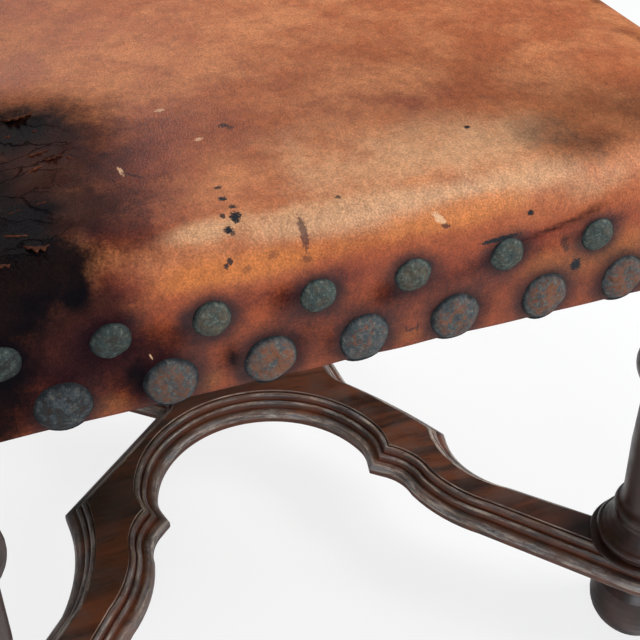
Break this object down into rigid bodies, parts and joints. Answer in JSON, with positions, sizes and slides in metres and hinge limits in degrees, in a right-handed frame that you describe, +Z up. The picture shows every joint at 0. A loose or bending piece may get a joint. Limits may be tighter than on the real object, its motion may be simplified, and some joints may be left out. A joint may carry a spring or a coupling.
{
  "type": "armchair",
  "caption": "Open armchair with a nailed leather seat and back, turned legs, and a flat moulded stretcher whose halves are arched on their outer sides.",
  "frame": {"origin": "middle of the chair's width and depth, on the floor", "axes": "+Z up, -Y the front of the chair, X across it"},
  "size_m": [0.673, 0.6792, 1.0533],
  "materials": {
    "walnut": "waxed, worn to orange brown along the edges",
    "beech": "bare, sawn and planed",
    "screw_steel": "dull",
    "jute": "plain weave",
    "stuffing": "loose hair",
    "leather": "old tan hide, stained and cracked",
    "large_nail_iron": "blue grey with rust",
    "small_nail_brass": "dull with verdigris"
  },
  "bodies": {
    "root": {"stretcher_left": "walnut", "stretcher_right": "walnut", "stretcher_dowels": "walnut", "bun_feet": "walnut", "front_leg_left": "walnut", "front_leg_right": "walnut", "rear_leg_left": "walnut", "rear_leg_right": "walnut", "front_seat_rail": "beech", "rear_seat_rail": "beech", "left_seat_rail": "beech", "right_seat_rail": "beech", "tenon_pegs": "walnut", "corner_blocks": "beech", "corner_block_screws": "screw_steel", "seat_webbing": "jute", "seat_hessian": "jute", "seat_stuffing": "stuffing", "seat_leather": "leather", "seat_nails_large": "large_nail_iron", "seat_nails_small": "small_nail_brass", "arm_left": "walnut", "arm_right": "walnut", "back_top_rail": "walnut", "back_lower_rail": "walnut", "back_webbing": "jute", "back_hessian": "jute", "back_stuffing": "stuffing", "back_leather": "leather", "outside_back_leather": "leather", "back_nails": "small_nail_brass", "outside_back_nails": "small_nail_brass"}
  },
  "joints": []
}
